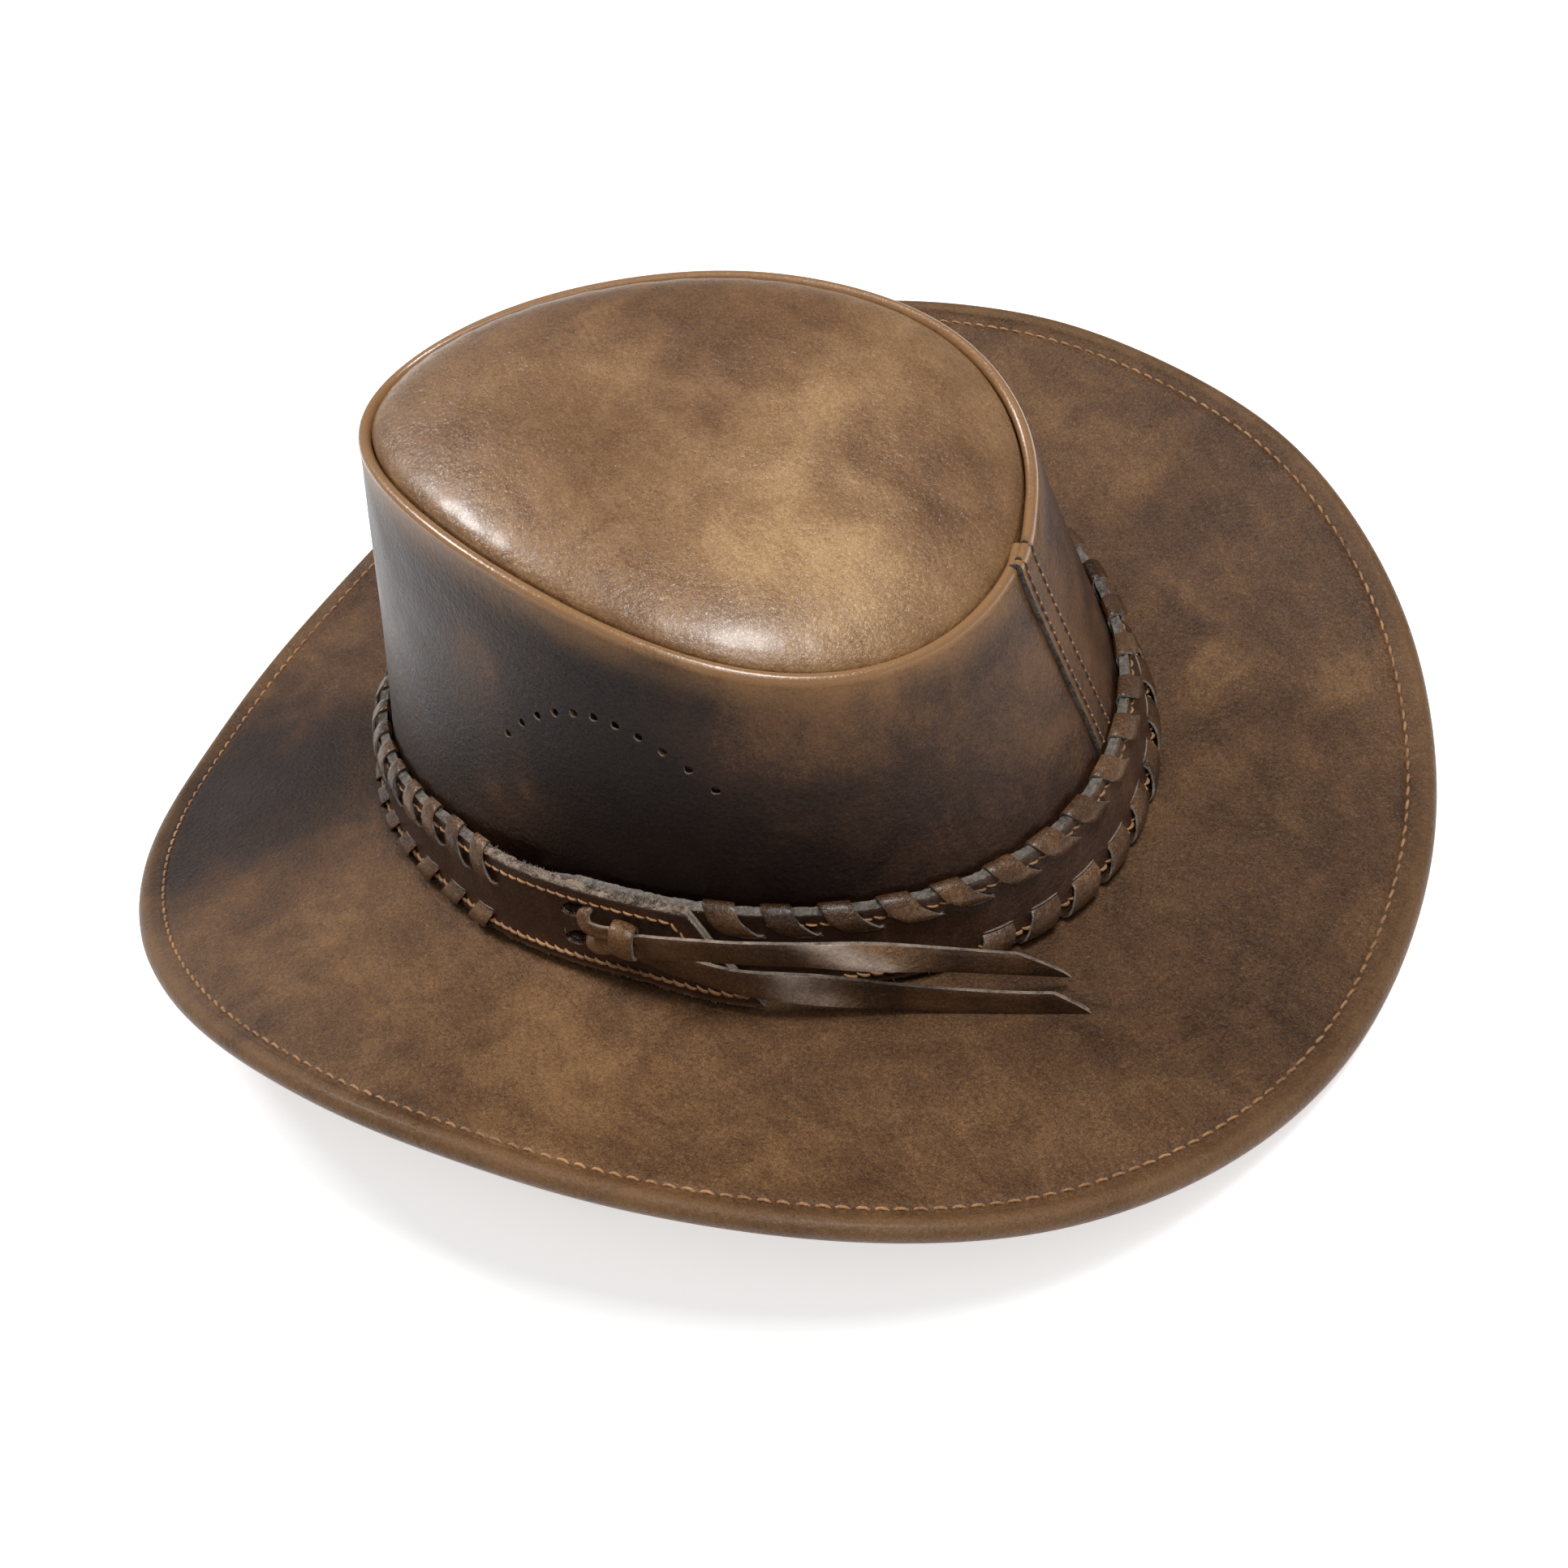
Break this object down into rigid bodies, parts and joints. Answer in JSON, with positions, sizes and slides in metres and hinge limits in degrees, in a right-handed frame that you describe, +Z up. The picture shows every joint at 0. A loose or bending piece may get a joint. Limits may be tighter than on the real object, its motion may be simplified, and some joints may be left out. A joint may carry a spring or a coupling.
{
  "type": "cowboy hat",
  "caption": "Leather cowboy hat: smooth pillowed crown, upswept wired brim, sweatband, and a whip-laced leather hat band that lifts off, closed by a tie with two hanging tails.",
  "frame": {"origin": "on the table, under the middle of the hat's outline, with the hat resting on the front and back of its brim", "axes": "+Z up through the crown, -Y to the front of the hat, +Y to the back seam, +X to the wearer's left, where the tie is"},
  "size_m": [0.3106, 0.3594, 0.1294],
  "materials": {
    "crown_top_leather": "waxed, softly glossy, golden brown",
    "crown_side_leather": "waxed, mottled dark brown",
    "brim_leather": "waxed, mottled brown with tan patches",
    "brim_underside_leather": "matt brown",
    "sweatband_leather": "smooth tan",
    "hatband_leather": "waxed, mottled brown",
    "hatband_backing_leather": "raw, pale greyish edge",
    "lace_leather": "waxed brown with pale raw edges",
    "tan_thread": "waxed tan thread",
    "brown_thread": "waxed dark brown thread",
    "spring_wire": "drawn spring wire",
    "ferrule_brass": "plain brass tube"
  },
  "bodies": {
    "hat": {"crown_top_panel": "crown_top_leather", "crown_side_panel": "crown_side_leather", "crown_top_seam_thread": "brown_thread", "crown_base_seam_thread": "brown_thread", "back_seam_thread_edge": "brown_thread", "back_seam_thread_inner": "brown_thread", "brim_upper_leather": "brim_leather", "brim_lower_leather": "brim_underside_leather", "brim_wire": "spring_wire", "wire_ferrule": "ferrule_brass", "brim_edge_thread": "tan_thread", "sweatband": "sweatband_leather", "sweatband_thread": "tan_thread"},
    "hat_band": {"hatband_backing_ply": "hatband_backing_leather", "hatband_outer_ply": "hatband_leather", "hatband_upper_thread": "tan_thread", "hatband_lower_thread": "tan_thread", "upper_edge_lace": "lace_leather", "lower_edge_lace": "lace_leather", "tie_loop": "lace_leather", "tie_knot": "lace_leather"},
    "lower_tail": {"tie_tail_lower": "lace_leather"},
    "upper_tail": {"tie_tail_upper": "lace_leather"}
  },
  "joints": [
    {"name": "hatband_lift", "type": "slide", "parent": "hat", "child": "hat_band", "axis": [0, 0, 1], "range_m": [0, 0.13]},
    {"name": "lower_tail_swing", "type": "hinge", "parent": "hat_band", "child": "lower_tail", "pos_m": [0.0935, 0.0211, 0.0435], "axis": [0.4226, 0, -0.9063], "range_deg": [0, 30], "stiffness_Nm_per_rad": 0.003},
    {"name": "upper_tail_swing", "type": "hinge", "parent": "lower_tail", "child": "upper_tail", "pos_m": [0.0928, 0.0211, 0.0471], "axis": [0.4226, 0, -0.9063], "range_deg": [0, 30], "stiffness_Nm_per_rad": 0.003}
  ]
}
